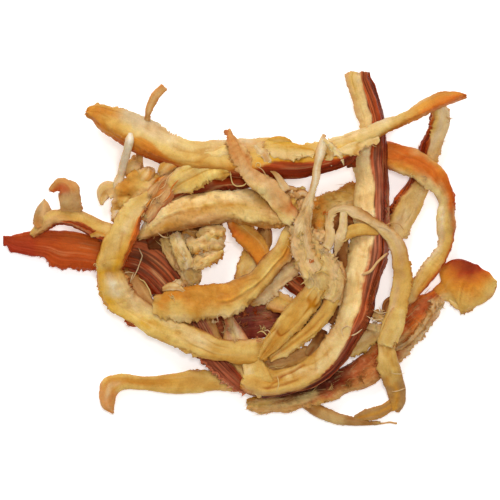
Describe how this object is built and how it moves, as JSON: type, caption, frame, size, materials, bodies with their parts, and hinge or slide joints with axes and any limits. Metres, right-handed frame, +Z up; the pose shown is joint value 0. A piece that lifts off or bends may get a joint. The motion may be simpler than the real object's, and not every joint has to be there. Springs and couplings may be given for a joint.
{
  "type": "dried squid",
  "caption": "Loose tangled heap of torn dried squid strips lying flat, with curled ends, frayed edges and open gaps between crossing strips.",
  "frame": {"origin": "on the resting plane, under the middle of the heap's bounding box", "axes": "+Z up from the resting plane; +X along the heap's length, towards its flared end; +Y across it, towards the long top strip"},
  "size_m": [0.1238, 0.0888, 0.0161],
  "materials": {
    "dried_flesh": "fibrous waxy flesh, cream to ochre, with glossy maroon skin on some edges"
  },
  "bodies": {
    "root": {"squid_strips": "dried_flesh"}
  },
  "joints": []
}
